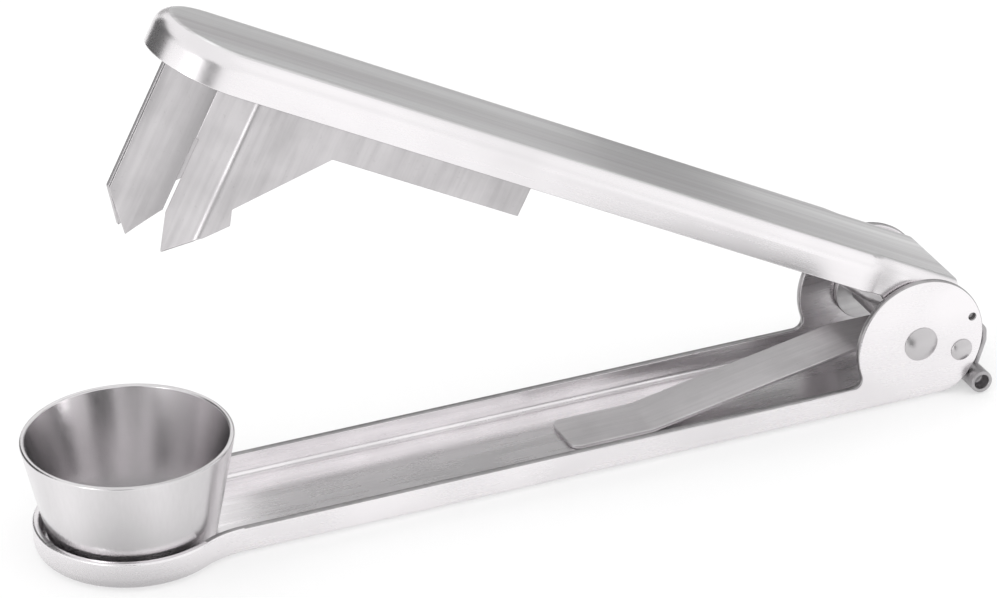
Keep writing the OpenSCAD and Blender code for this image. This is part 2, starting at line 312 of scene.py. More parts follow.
class PitterFinish(bpy.types.PropertyGroup):
    """Colours of the metals"""
    polished: bpy.props.FloatVectorProperty(
        name="Polished plate", description="Sides of the arms and the cheeks",
        default=(0.915, 0.89, 0.905), **COLOUR)
    cup: bpy.props.FloatVectorProperty(
        name="Cup", description="Soft polish of the cup",
        default=(0.78, 0.761, 0.772), **COLOUR)
    brushed: bpy.props.FloatVectorProperty(
        name="Brushed plate", description="Top of the upper arm",
        default=(0.90, 0.872, 0.888), **COLOUR)
    inside: bpy.props.FloatVectorProperty(
        name="Inside of the plate", description="Inner faces of the arms",
        default=(0.92, 0.895, 0.91), **COLOUR)
    # The cut colour also serves as painted shade on the upright sides of the rivet heads
    cut: bpy.props.FloatVectorProperty(
        name="Cut edges", description="Narrow cut edges of the sheet",
        default=(0.40, 0.388, 0.395), **COLOUR)
    blade: bpy.props.FloatVectorProperty(
        name="Punch blade", description="Satin blade steel",
        default=(0.56, 0.543, 0.553), **COLOUR)
    spring: bpy.props.FloatVectorProperty(
        name="Spring leaf", description="Satin spring steel",
        default=(0.74, 0.72, 0.73), **COLOUR)
    rivet: bpy.props.FloatVectorProperty(
        name="Rivets", description="Worn polish of the rivet heads",
        default=(0.62, 0.602, 0.612), **COLOUR)
    dark: bpy.props.FloatVectorProperty(
        name="Bail and bush", description="Dark satin steel",
        default=(0.44, 0.428, 0.436), **COLOUR)


class PitterStage(bpy.types.PropertyGroup):
    """Studio values"""
    floor: bpy.props.FloatVectorProperty(
        name="Floor", description="Colour of the pale floor",
        default=(0.95, 0.95, 0.95), **COLOUR)
    key: bpy.props.FloatProperty(
        name="Key light", description="Power of the low wide lamp at the left",
        default=0.15, min=0, unit="POWER")
    fill: bpy.props.FloatProperty(
        name="Fill light", description="Power of the lamp at the right",
        default=0.08, min=0, unit="POWER")
    light: bpy.props.FloatProperty(
        name="Surroundings", description="Strength of the white surroundings as light on the floor",
        default=1.2, min=0)
    edge: bpy.props.FloatProperty(
        name="Edge light", description="Power of the narrow lamp at the near left",
        default=0.2, min=0, unit="POWER")
    card: bpy.props.FloatVectorProperty(
        name="Card", description="Colour of the dark cards that the nose, the skirts and the rivets mirror",
        default=(0.12, 0.12, 0.12), **COLOUR)
    screen: bpy.props.FloatVectorProperty(
        name="Screen", description="Colour of the grey screen that the top and the tray mirror",
        default=(0.38, 0.38, 0.38), **COLOUR)
    patch: bpy.props.FloatVectorProperty(
        name="Patch", description="Colour of the card on the floor that the pan and the cup mirror",
        default=(0.5, 0.5, 0.5), **COLOUR)
    strip: bpy.props.FloatVectorProperty(
        name="Strip",
        description="Colour of the long card behind the tool that the tray and the spring mirror",
        default=(0.20, 0.20, 0.20), **COLOUR)


# Flat drawing helpers

def arc(centre, radius, start, end, steps):
    """Points on a circle from one angle to another, in degrees."""
    points = []
    for step in range(steps + 1):
        angle = math.radians(start + (end - start) * step / steps)
        points.append((centre[0] + radius * math.cos(angle), centre[1] + radius * math.sin(angle)))
    return points


def rounded(points, radius, steps=ROUND_STEPS):
    """An open line of points, of any dimension, with its inner corners rounded."""
    points = [Vector(point) for point in points]
    line = [points[0]]
    for before, corner, after in zip(points, points[1:], points[2:]):
        back = (before - corner).normalized()
        ahead = (after - corner).normalized()
        half = back.angle(ahead) / 2
        reach = radius / math.tan(half)
        reach = min(reach, CORNER_SHARE * (before - corner).length, CORNER_SHARE * (after - corner).length)
        middle = corner + (back + ahead).normalized() * reach / math.cos(half)
        first = corner + back * reach - middle
        last = corner + ahead * reach - middle
        for step in range(steps + 1):
            way = first.normalized().slerp(last.normalized(), step / steps)
            line.append(middle + way * first.length)
    line.append(points[-1])
    return line


def along(line, x):
    """The second value at x on a line of points with rising x."""
    index = sum(1 for point in line[1:-1] if point[0] < x)
    (x0, value0), (x1, value1) = line[index:index + 2]
    return value0 + (value1 - value0) * (x - x0) / (x1 - x0)


def outward(outline):
    """For each point of a plan outline walked with its outside on the left, the way out of it."""
    sides = []
    for (x0, y0), (x1, y1) in zip(outline, outline[1:]):
        length = math.hypot(x1 - x0, y1 - y0)
        sides.append(Vector((-(y1 - y0) / length, (x1 - x0) / length)))
    ways = [sides[0]]
    for first, second in zip(sides, sides[1:]):
        ways.append((first + second) / (1 + first.dot(second)))
    ways.append(sides[-1])
    return ways


def bend_rows(outline, radius, flat_z, rise):
    """Rows of points round a bend: from the flat's edge to the foot of the wall, rise is 1 or -1."""
    ways = outward(outline)
    rows = []
    for step in range(BEND_STEPS + 1):
        angle = math.radians(90 * step / BEND_STEPS)
        inset = radius * (1 - math.sin(angle))
        height = flat_z + rise * radius * (1 - math.cos(angle))
        rows.append([(x - way.x * inset, y - way.y * inset, height) for (x, y), way in zip(outline, ways)])
    return rows


def at_height(row, height):
    """A row of points moved to one height."""
    return [(x, y, height) for x, y, _ in row]


def at_side(outline, side):
    """A side view's points at one distance from the middle plane."""
    return [(x, side, z) for x, z in outline]


# Mesh helpers

class Sheet:
    """Faces of a bent plate; points at the same place are shared."""

    def __init__(self):
        self.mesh = bmesh.new()
        self.known = {}

    def point(self, position):
        """The corner at a place, new or known."""
        key = tuple(round(value / MERGE) for value in position)
        if key not in self.known:
            self.known[key] = self.mesh.verts.new(position)
        return self.known[key]

    def face(self, positions, slot=0):
        """A face with its finish's slot; corners that fall together count once."""
        corners = []
        for position in positions:
            corner = self.point(position)
            if corner not in corners:
                corners.append(corner)
        self.mesh.faces.new(corners).material_index = slot

    def strip(self, first, second, slot=0):
        """Faces between two rows of points."""
        for a, b, c, d in zip(first, first[1:], second[1:], second):
            self.face([a, b, c, d], slot)

    def strips(self, rows, slot=0):
        """Faces between each row of points and the next."""
        for first, second in zip(rows, rows[1:]):
            self.strip(first, second, slot)

    def pierced(self, outline, hole, radius):
        """An upright side as two faces above and below a hole, walked anticlockwise from the near side."""
        def level(index):
            return abs(outline[index][2] - hole.z)

        right = min((index for index, point in enumerate(outline) if point[0] > hole.x), key=level)
        left = min((index for index, point in enumerate(outline) if point[0] < hole.x), key=level)
        for start, end, turn in ((right, left, 180), (left, right, 360)):
            chain = outline[start:] + outline[:start]
            chain = chain[:(end - start) % len(outline) + 1]
            half = arc((hole.x, hole.z), radius, turn, turn - 180, HOLE_STEPS)
            self.face(chain + at_side(half, outline[0][1]))

    def object(self, name, middle, place=Matrix()):
        """The faces as an object, turned to look away from a point inside."""
        bmesh.ops.recalc_face_normals(self.mesh, faces=self.mesh.faces[:])
        away = sum((face.calc_center_median() - Vector(middle)).dot(face.normal) * face.calc_area()
                   for face in self.mesh.faces)
        if away < 0:
            bmesh.ops.reverse_faces(self.mesh, faces=self.mesh.faces[:])
        mesh = bpy.data.meshes.new(name)
        self.mesh.to_mesh(mesh)
        self.mesh.free()
        mesh.transform(place)
        return linked(name, mesh)


def linked(name, mesh):
    """A mesh as an object in the scene."""
    piece = bpy.data.objects.new(name, mesh)
    bpy.context.scene.collection.objects.link(piece)
    return piece


def modifier(piece, kind, **settings):
    """Adds a modifier and sets its values."""
    added = piece.modifiers.new(kind.title(), kind)
    for key, value in settings.items():
        setattr(added, key, value)


def settle(piece):
    """Turns a piece's modifiers into a plain mesh."""
    depsgraph = bpy.context.evaluated_depsgraph_get()
    mesh = bpy.data.meshes.new_from_object(piece.evaluated_get(depsgraph))
    piece.modifiers.clear()
    raw = piece.data
    piece.data = mesh
    mesh.name = raw.name
    bpy.data.meshes.remove(raw)
    return mesh


def close(mesh):
    """Merges doubles and points the faces of a closed mesh outwards."""
    work = bmesh.new()
    work.from_mesh(mesh)
    bmesh.ops.remove_doubles(work, verts=work.verts[:], dist=JOIN)
    bmesh.ops.dissolve_degenerate(work, edges=work.edges[:], dist=MERGE)
    bmesh.ops.recalc_face_normals(work, faces=work.faces[:])
    work.to_mesh(mesh)
    work.free()


def soften(piece):
    """Smooth shading that leaves the flats flat."""
    piece.data.shade_smooth()
    modifier(piece, "WEIGHTED_NORMAL", keep_sharp=True, weight=FLAT_WEIGHT)
    settle(piece)


def thicken(piece, thickness, offset, edge, rim):
    """Gives a sheet its thickness and rounded cut edges, whose finish is some slots further on."""
    modifier(piece, "SOLIDIFY", thickness=thickness, offset=offset, use_even_offset=True,
             material_offset=1, material_offset_rim=rim)
    settle(piece)
    modifier(piece, "BEVEL", width=edge, segments=EDGE_STEPS, limit_method="ANGLE",
             angle_limit=EDGE_ANGLE, use_clamp_overlap=False)
    settle(piece)
    soften(piece)


def hand_in(piece, body, node):
    """Puts a finished piece on its body in place of the plain solid."""
    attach(piece, body)
    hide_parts(node)


# Node helpers

class Term:
    """A shader value in an expression; each operator adds its Math node."""

    def __init__(self, graph, socket):
        self.graph = graph
        self.socket = socket

    def math(self, operation, first, second):
        """The term that one Math node makes of two values."""
        node = self.graph.node("ShaderNodeMath", {"operation": operation}, {0: first, 1: second})
        return Term(self.graph, node.outputs[0])

    def __add__(self, other):
        return self.math("ADD", self, other)

    def __radd__(self, other):
        return self.math("ADD", other, self)

    def __sub__(self, other):
        return self.math("SUBTRACT", self, other)

    def __rsub__(self, other):
        return self.math("SUBTRACT", other, self)

    def __mul__(self, other):
        return self.math("MULTIPLY", self, other)

    def __rmul__(self, other):
        return self.math("MULTIPLY", other, self)


def blank(owner):
    """The node tree of a material or world, emptied."""
    owner.use_nodes = True
    owner.node_tree.nodes.clear()
    return owner.node_tree


class Graph:
    """A node tree that grows by one method."""

    def __init__(self, tree):
        self.tree = tree

    def node(self, kind, settings=None, sockets=None):
        """A new node with its settings made and its inputs fed."""
        node = self.tree.nodes.new(kind)
        for key, value in (settings or {}).items():
            if key == "stops":
                self.stops(node.color_ramp, value)
            else:
                setattr(node, key, value)
        for key, value in (sockets or {}).items():
            self.feed(node.inputs[key], value)
        return node

    def stops(self, ramp, values):
        """Sets a ramp's grey stops."""
        while len(ramp.elements) < len(values):
            ramp.elements.new(1)
        for element, (place, level) in zip(ramp.elements, values):
            element.position = place
            element.color = (level, level, level, 1)

    def fading(self, here, centre, radius):
        """0 at a place, rising smoothly to 1 at a radius from it."""
        away = self.node("ShaderNodeVectorMath", {"operation": "DISTANCE"}, {0: here, 1: tuple(centre)})
        share = self.node("ShaderNodeMapRange", {"interpolation_type": "SMOOTHSTEP"},
                          {"Value": away.outputs["Value"], "From Max": radius})
        return Term(self, share.outputs[0])

    def feed(self, socket, value):
        """Links a socket or sets its value."""
        if isinstance(value, Term):
            value = value.socket
        if isinstance(value, bpy.types.NodeSocket):
            self.tree.links.new(value, socket)
        else:
            socket.default_value = value


class Metal(Graph):
    """A metal finish with its own Principled shader."""

    def __init__(self, name, colour):
        self.material = bpy.data.materials.new(name)
        self.material.diffuse_color = (*colour, 1)
        super().__init__(blank(self.material))
        self.shader = self.node("ShaderNodeBsdfPrincipled", None, {"Metallic": 1.0})
        self.node("ShaderNodeOutputMaterial", None, {"Surface": self.shader.outputs[0]})
        self.place = self.node("ShaderNodeTexCoord").outputs["Object"]

    def noise(self, recipe, turn=0):
        """Noise stretched by a scale for each axis and turned about Y, with a range of its values spread."""
        scale, detail, (low, high) = recipe
        mapping = self.node("ShaderNodeMapping", None,
                            {"Vector": self.place, "Rotation": (0, -turn, 0)})
        stretched = self.node("ShaderNodeVectorMath", {"operation": "MULTIPLY"},
                              {0: mapping.outputs[0], 1: scale})
        texture = self.node("ShaderNodeTexNoise", None,
                            {"Vector": stretched.outputs[0], "Scale": 1.0, "Detail": detail})
        ramp = self.node("ShaderNodeValToRGB", {"stops": [(low, 0), (high, 1)]},
                         {"Fac": texture.outputs["Fac"]})
        return Term(self, ramp.outputs["Color"])

    def spot(self, centre, radius):
        """1 at a place in the side view, fading to 0 at a radius from it."""
        flat = self.node("ShaderNodeVectorMath", {"operation": "MULTIPLY"}, {0: self.place, 1: (1, 0, 1)})
        return 1 - self.fading(flat.outputs[0], centre, radius)

    def between(self, colour, shades, factor):
        """A colour that goes from one darker or brighter shade of itself to another."""
        first, second = (tuple(min(1, channel * level) for channel in colour) for level in shades)
        # Sockets 6 and 7 take the node's two colours, and output 2 gives the mixed one
        node = self.node("ShaderNodeMix", {"data_type": "RGBA"},
                         {0: factor, 6: (*first, 1), 7: (*second, 1)})
        return node.outputs[2]

    def surface(self, colour, roughness, height, depth):
        """The finished material, with bumps of a depth."""
        bump = self.node("ShaderNodeBump", None, {"Strength": 1.0, "Distance": depth, "Height": height})
        self.feed(self.shader.inputs["Base Color"], colour)
        self.feed(self.shader.inputs["Roughness"], roughness)
        self.feed(self.shader.inputs["Normal"], bump.outputs[0])
        return self.material


def once(name, make, colour, *more):
    """A finish that several pieces share is made only once."""
    return bpy.data.materials.get(name) or make(name, tuple(colour), *more)


def polished_steel(name, colour, turn=0, rough=POLISH_ROUGH, painted_shade_spot=None):
    """Polished plate: soft clouding, fine lengthwise hairlines, a few scratches, perhaps a spot of painted
    shade.
    """
    metal = Metal(name, colour)
    cloud = metal.noise(CLOUD, turn)
    hair = metal.noise(HAIR, turn)
    scratch = metal.noise(SCRATCH, turn + SCRATCH_TURN)
    dulling_and_painted_shade = cloud * 0.2 + scratch * 0.08
    # Painted shade: the spot darkens the colour round its middle, where shade falls on the neck
    if painted_shade_spot:
        dulling_and_painted_shade = dulling_and_painted_shade + metal.spot(*painted_shade_spot) * (0.5 + cloud * 0.3)
    colour = metal.between(colour, POLISH_SHADES, dulling_and_painted_shade)
    rough = rough + cloud * 0.06 + hair * 0.06
    return metal.surface(colour, rough, hair * 0.5 + scratch * 0.3, POLISH_DEPTH)


def drawn_steel(name, colour):
    """Drawn cup: soft upright bands and fine upright hairlines."""
    metal = Metal(name, colour)
    band = metal.noise(CUP_BAND)
    hair = metal.noise(CUP_HAIR)
    colour = metal.between(colour, DRAWN_SHADES, band * 0.85 + hair * 0.15)
    rough = DRAWN_ROUGH + band * 0.06 + hair * 0.04
    return metal.surface(colour, rough, hair, DRAWN_DEPTH)


def tray_steel(name, colour):
    """Inside of the tray: lengthwise grain with slight stains."""
    metal = Metal(name, colour)
    grain = metal.noise(PLATE_GRAIN)
    stain = metal.noise(TRAY_STAIN)
    colour = metal.between(colour, TRAY_SHADES, grain * 0.5 + stain * 0.5)
    rough = TRAY_ROUGH + grain * 0.08 + stain * 0.06
    return metal.surface(colour, rough, grain, TRAY_DEPTH)


def brushed_steel(name, colour, turn):
    """Brushed plate: broad, narrow and fine streaks along the arm."""
    metal = Metal(name, colour)
    broad = metal.noise(BROAD_STREAK, turn)
    narrow = metal.noise(NARROW_STREAK, turn)
    fine = metal.noise(FINE_STREAK, turn)
    streak = broad * 0.45 + narrow * 0.3 + fine * 0.25
    colour = metal.between(colour, BRUSH_SHADES, streak)
    rough = BRUSH_ROUGH - streak * 0.14
    return metal.surface(colour, rough, fine * 0.6 + narrow * 0.4, BRUSH_DEPTH)


def satin_steel(name, colour, recipe, turn=0):
    """Satin steel: a grain with slight stains and pits."""
    metal = Metal(name, colour)
    grain = metal.noise(recipe, turn)
    stain = metal.noise(STAIN, turn)
    pits = metal.noise(PITS, turn)
    colour = metal.between(colour, SATIN_SHADES, grain * 0.4 + stain * 0.4 + pits * 0.2)
    rough = SATIN_ROUGH + grain * 0.1 + stain * 0.06
    return metal.surface(colour, rough, grain * 0.6 - pits * 0.6, SATIN_DEPTH)


def finishes(context):
    """The finishes that pieces share."""
    look = context.scene.pitter_finish
    return {
        "polished": once("polished_side", polished_steel, look.polished),
        # The upper arm's sides carry the painted shade on the neck
        "polished_arm": once("polished_upper_side", polished_steel, look.polished, OPEN_ANGLE,
                             POLISH_ROUGH, NECK_PAINTED_SHADE),
        "cup": once("cup_polish", drawn_steel, look.cup),
        "brushed": once("brushed_top", brushed_steel, look.brushed, OPEN_ANGLE),
        "tray": once("tray_inside", tray_steel, look.inside),
        "inside": once("plate_inside", satin_steel, look.inside, PLATE_GRAIN),
        "cut": once("cut_edge", satin_steel, look.cut, CUT_GRAIN),
        "blade": once("punch_satin", satin_steel, look.blade, BLADE_GRAIN, OPEN_ANGLE),
        "spring": once("leaf_satin", satin_steel, look.spring, LEAF_GRAIN),
        "rivet": once("rivet_polish", polished_steel, look.rivet, 0, RIVET_ROUGH),
        "dark": once("dark_satin", satin_steel, look.dark, DARK_GRAIN),
    }


def coat(piece, *materials):
    """Adds finishes to a piece, one slot each."""
    for material in materials:
        piece.data.materials.append(material)


# Geometry Nodes trees

def new_tree(name, *inputs):
    """An empty tree with a geometry input and output and named inputs."""
    tree = bpy.data.node_groups.new(name, "GeometryNodeTree")
    tree.interface.new_socket("Geometry", in_out="INPUT", socket_type="NodeSocketGeometry")
    for label, kind, default in inputs:
        socket = tree.interface.new_socket(label, in_out="INPUT", socket_type=kind)
        if default is not None:
            socket.default_value = default
    tree.interface.new_socket("Geometry", in_out="OUTPUT", socket_type="NodeSocketGeometry")
    return tree


def end_tree(graph, geometry, material):
    """Ends a tree with a plain mesh in its finish."""
    realized = graph.node("GeometryNodeRealizeInstances", None, {0: geometry})
    coated = graph.node("GeometryNodeSetMaterial", None,
                        {"Geometry": realized.outputs[0], "Material": material})
    graph.node("NodeGroupOutput", None, {0: coated.outputs[0]})


def turned_tree():
    """Turns a profile, drawn as radius and minus height, about the upright axis."""
    tree = new_tree("turned_profile", ("Steps", "NodeSocketInt", TURN_STEPS),
                    ("Material", "NodeSocketMaterial", None))
    graph = Graph(tree)
    given = graph.node("NodeGroupInput")
    profile = graph.node("GeometryNodeMeshToCurve", None, {"Mesh": given.outputs["Geometry"]})
    path = graph.node("GeometryNodeCurvePrimitiveCircle", {"mode": "RADIUS"},
                      {"Resolution": given.outputs["Steps"], "Radius": MM})
    body = graph.node("GeometryNodeCurveToMesh", None,
                      {"Curve": path.outputs[0], "Profile Curve": profile.outputs[0]})
    end_tree(graph, body.outputs[0], given.outputs["Material"])
    return tree


def wire_tree():
    """Sweeps a round wire along a drawn path."""
    tree = new_tree("swept_wire", ("Radius", "NodeSocketFloat", WIRE_R),
                    ("Steps", "NodeSocketInt", WIRE_STEPS), ("Material", "NodeSocketMaterial", None))
    graph = Graph(tree)
    given = graph.node("NodeGroupInput")
    path = graph.node("GeometryNodeMeshToCurve", None, {"Mesh": given.outputs["Geometry"]})
    section = graph.node("GeometryNodeCurvePrimitiveCircle", {"mode": "RADIUS"},
                         {"Resolution": given.outputs["Steps"], "Radius": given.outputs["Radius"]})
    body = graph.node("GeometryNodeCurveToMesh", None,
                      {"Curve": path.outputs[0], "Profile Curve": section.outputs[0], "Fill Caps": True})
    end_tree(graph, body.outputs[0], given.outputs["Material"])
    return tree


def grow(name, tree, points, closed, **values):
    """A piece grown by a tree from a line of points, as a plain closed mesh."""
    edges = [(index, index + 1) for index in range(len(points) - 1)]
    if closed:
        edges.append((len(points) - 1, 0))
    line = bpy.data.meshes.new(name)
    line.from_pydata([tuple(point) for point in points], edges, [])
    piece = linked(name, line)
    grown = piece.modifiers.new("Grow", "NODES")
    grown.node_group = tree
    for item in tree.interface.items_tree:
        if item.in_out == "INPUT" and item.name in values:
            grown[item.identifier] = values[item.name]
    close(settle(piece))
    return piece


def turned(name, profile, material, closed, place):
    """A turned piece from its profile of radius and height."""
    tree = bpy.data.node_groups.get("turned_profile") or turned_tree()
    points = [(radius - MM, -height, 0) for radius, height in profile]
    piece = grow(name, tree, points, closed, Steps=TURN_STEPS, Material=material)
    piece.data.transform(place)
    soften(piece)
    return piece


def across(middle):
    """The place of a piece turned about the Y direction."""
    return Matrix.Translation(middle) @ Matrix.Rotation(-math.pi / 2, 4, "X")


# Pieces

class PITTER_OT_lower_arm(bpy.types.Operator):
    """Build the pressed tray with its pan and cheeks"""
    bl_idname = "pitter.lower_arm"
    bl_label = "Lower arm"

    def execute(self, context):
        sizes = context.scene.pitter_sizes
        look = finishes(context)
        sheet = Sheet()
        outline, pan = self.outline()
        rows = bend_rows(outline, sizes.tray_bend, 0, 1)
        self.floor(sheet, rows[0], pan)
        rows = [[self.under_cheek(row[0])] + row + [self.under_cheek(row[-1])] for row in rows]
        sheet.strips(rows)
        foot = rows[-1]
        lip = at_height(foot, WALL_H)
        # The rows have one point more at each end than the outline
        start, end = (place + 1 for place in pan)
        sheet.strip(foot[2:start + 1], lip[2:start + 1])
        sheet.strip(foot[start:end + 1], lip[start:end + 1], PAN_WALL)
        sheet.strip(foot[end:-2], lip[end:-2])
        cheek = self.cheek(sizes.tray_bend)
        # Places in the rows, counted from either end
        for rear, middle, front, side in ((0, 1, 2, -ARM_HALF), (-1, -2, -3, ARM_HALF)):
            below = [foot[rear], foot[middle], foot[front], lip[front]]
            sheet.pierced((below + at_side(cheek, side))[::-1], BAIL_PIN, BAIL_HOLE_R)
        piece = sheet.object("lower_arm_tray", (0, 0, WALL_H))
        coat(piece, look["polished"], look["tray"], look["cut"])
        coat(piece, look["polished"], look["tray"], look["polished"])
        thicken(piece, SHEET, -1, sizes.edge, TRAY_RIM)
        hand_in(piece, "lower", "lower_arm")
        return {"FINISHED"}

    def outline(self):
        """Plan of the tray from the near rear round the pan to the far rear, and the pan's share of it."""
        out = ARM_HALF + PAN_BLEND_R
        ahead = math.sqrt((PAN_R + PAN_BLEND_R) ** 2 - out ** 2)
        blend_x = CUP_X + ahead
        meet = math.degrees(math.atan2(out, ahead))
        near = arc((blend_x, -out), PAN_BLEND_R, 90, 180 - meet, ROUND_STEPS * 2)
        pan = arc((CUP_X, 0), PAN_R, -meet, meet - 360, TURN_STEPS)
        far = arc((blend_x, out), PAN_BLEND_R, 180 + meet, 270, ROUND_STEPS * 2)
        outline = [(PIVOT.x, -ARM_HALF)] + near + pan[1:] + far[1:] + [(PIVOT.x, ARM_HALF)]
        start = len(near)
        return outline, (start, start + TURN_STEPS)

    def floor(self, sheet, edge, pan):
        """A ring round the stone hole and the rest of the floor behind it."""
        start, end = pan
        first, last = Vector(edge[start][:2]), Vector(edge[end][:2])
        radius = (first - Vector((CUP_X, 0))).length
        meet = math.degrees(math.atan2(last.y, last.x - CUP_X))
        rear = [(x, y, 0) for x, y in arc((CUP_X, 0), radius, meet, -meet, ROUND_STEPS * 4)]
        rear[0], rear[-1] = edge[end], edge[start]
        ring = list(edge[start:end]) + rear
        hole = []
        for x, y, _ in ring:
            angle = math.atan2(y, x - CUP_X)
            hole.append((CUP_X + STONE_HOLE_R * math.cos(angle), STONE_HOLE_R * math.sin(angle), 0))
        sheet.strip(ring, hole)
        sheet.face(list(edge[end:]) + list(edge[:start]) + rear[::-1])

    def under_cheek(self, point):
        """The place behind the floor's end where a bend's row meets the cheek's round edge."""
        x, y, z = point
        return (PIVOT.x + math.sqrt(CHEEK_R ** 2 - (PIVOT.z - z) ** 2), y, z)

    def cheek(self, bend):
        """Side view of the wall's top edge and the round cheek, down to the bend below it."""
        drop = PIVOT.z - WALL_H - CHEEK_BLEND_R
        ahead = math.sqrt((CHEEK_R + CHEEK_BLEND_R) ** 2 - drop ** 2)
        meet = math.degrees(math.atan2(drop, ahead))
        hollow = arc((PIVOT.x - ahead, PIVOT.z - drop), CHEEK_BLEND_R, -90, meet, ROUND_STEPS)
        foot = math.degrees(math.asin((PIVOT.z - bend) / CHEEK_R))
        disc = arc((PIVOT.x, PIVOT.z), CHEEK_R, 180 + meet, -foot, TURN_STEPS)
        return hollow + disc[1:]


class PITTER_OT_cup(bpy.types.Operator):
    """Turn the conical cup"""
    bl_idname = "pitter.cup"
    bl_label = "Cup"

    def execute(self, context):
        sizes = context.scene.pitter_sizes
        look = finishes(context)
        low, high = CUP_LOW.z, CUP_HIGH.z
        lean = (CUP_RIM_R - CUP_FOOT_R) / (high - low)
        inner_foot = CUP_FOOT_R - CUP_WALL + lean * CUP_WALL
        outer = rounded([(STONE_HOLE_R, low), (CUP_FOOT_R, low), (CUP_RIM_R, high)], sizes.cup_foot)
        inner = rounded([(CUP_RIM_R - CUP_WALL, high), (inner_foot, low + CUP_WALL),
                         (STONE_HOLE_R, low + CUP_WALL)], sizes.cup_foot - CUP_WALL)
        lip = rounded([outer[-2], outer[-1], inner[0], inner[1]], sizes.edge)[1:-1]
        place = Matrix.Translation((CUP_X, 0, 0))
        piece = turned("cup_cone", outer[:-1] + lip + inner[1:], look["cup"], True, place)
        hand_in(piece, "lower", "cup")
        return {"FINISHED"}


class PITTER_OT_upper_arm(bpy.types.Operator):
    """Build the pressed cover with its skirts, neck and lugs"""
    bl_idname = "pitter.upper_arm"
    bl_label = "Upper arm"

    def execute(self, context):
        sizes = context.scene.pitter_sizes
        look = finishes(context)
        sheet = Sheet()
        outline = self.outline(sizes.shoulder)
        rows = bend_rows(outline, sizes.cover_bend, TOP_H, -1)
        sheet.face(rows[0], COVER_TOP)
        sheet.strips(rows[:BRUSHED_ROWS + 1], COVER_TOP)
        sheet.strips(rows[BRUSHED_ROWS:])
        upper = rows[-1]
        lower = at_height(upper, SKIRT_LOW)
        sheet.strip(upper[1:-1], lower[1:-1])
        lug = self.lug()
        # Places in the rows, counted from either end; the pivot is at the origin
        for rear, front, side in ((0, 1, -NECK_HALF), (-1, -2, NECK_HALF)):
            above = [upper[rear], upper[front], lower[front]]
            sheet.pierced(above + at_side(lug, side), Vector(), PIVOT_SHANK_R)
        piece = sheet.object("upper_arm_cover", (-NOSE_X / 2, 0, 0), ARM_PLACE)
        coat(piece, look["polished_arm"], look["inside"], look["brushed"], look["inside"], look["cut"])
        thicken(piece, SHEET, -1, sizes.edge / 2, COVER_RIM)
        hand_in(piece, "upper", "upper_arm")
        return {"FINISHED"}

    def outline(self, radius):
        """Plan of the cover from the near rear round the nose to the far rear."""
        step = (NECK_X + SHOULDER_X) / 2
        # The last point only shows which way the line goes on
        neck = [(-NECK_X, -NECK_HALF), (STEP_HALF - step, -NECK_HALF), (-STEP_HALF - step, -UPPER_HALF),
                (-SHOULDER_X * 2, -UPPER_HALF)]
        near = [(TOP_REAR, -NECK_HALF)] + [tuple(point) for point in rounded(neck, radius)[:-1]]
        nose = arc((-NOSE_X, 0), UPPER_HALF, -90, -270, TURN_STEPS)
        far = [(x, -y) for x, y in reversed(near)]
        return near + nose + far

    def lug(self):
        """Side view of the slanted front edge, the lug round the pivot and the heel behind it."""
        start = Vector((-NECK_X, SKIRT_LOW))
        way = (Vector((-LUG_R / 2, 0)) - start).normalized()
        ahead = -start.dot(way)
        meet = start + way * (ahead - math.sqrt(ahead ** 2 - start.length_squared + LUG_R ** 2))
        turn = math.degrees(math.asin(HEEL_Z / LUG_R))
        disc = arc((0, 0), LUG_R, math.degrees(math.atan2(meet.y, meet.x)), 360 + turn, TURN_STEPS // 2)
        return disc + [(math.sqrt(HEEL_R ** 2 - z ** 2), z) for z in (HEEL_Z, HEEL_Z + HEEL_H)]


